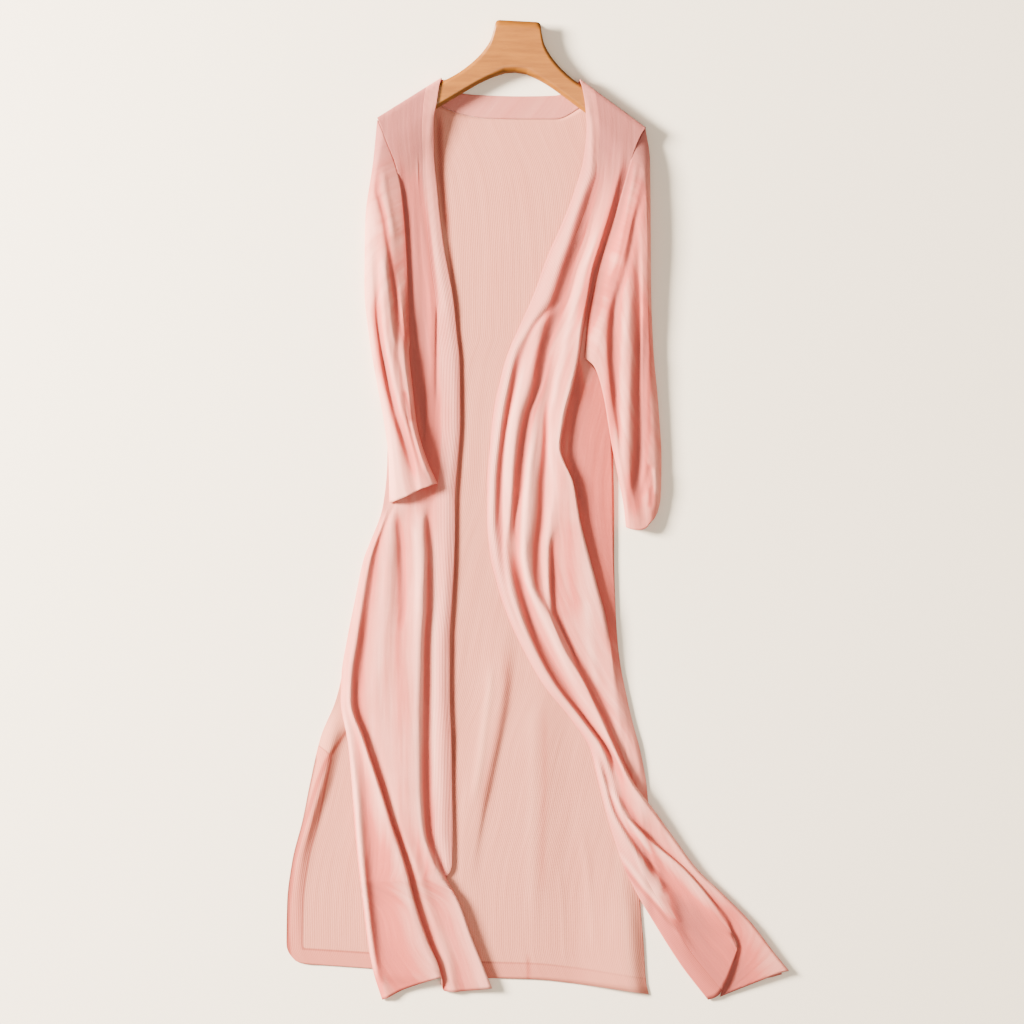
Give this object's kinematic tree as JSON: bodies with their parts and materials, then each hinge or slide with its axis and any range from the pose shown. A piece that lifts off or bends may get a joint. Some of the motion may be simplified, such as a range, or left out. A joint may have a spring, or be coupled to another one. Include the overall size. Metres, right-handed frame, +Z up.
{
  "type": "duster cardigan laid flat on a wooden hanger",
  "caption": "Long open-front fine-knit duster cardigan with long sleeves and side slits, laid flat with folds on a surface with a flat wooden hanger in its shoulders.",
  "frame": {"origin": "middle of the outline's box, on the surface that the garment lies on", "axes": "+Z up from the surface, +Y along the garment's length towards the hanger's head, +X towards the garment's left front, the right hand of someone looking down on it"},
  "size_m": [0.6695, 1.3035, 0.0222],
  "materials": {
    "knit": "soft fine knit with a slight sheen",
    "knit_band": "fine rib, matt",
    "knit_inside": "fine ribbed inner face, matt",
    "hanger_wood": "clear satin lacquer"
  },
  "bodies": {
    "root": {"back": "knit_inside", "neck_band": "knit_band", "left_front_band": "knit_band", "left_front": "knit", "right_front_band": "knit_band", "right_front": "knit", "left_sleeve": "knit", "right_sleeve": "knit", "hanger": "hanger_wood"}
  },
  "joints": []
}
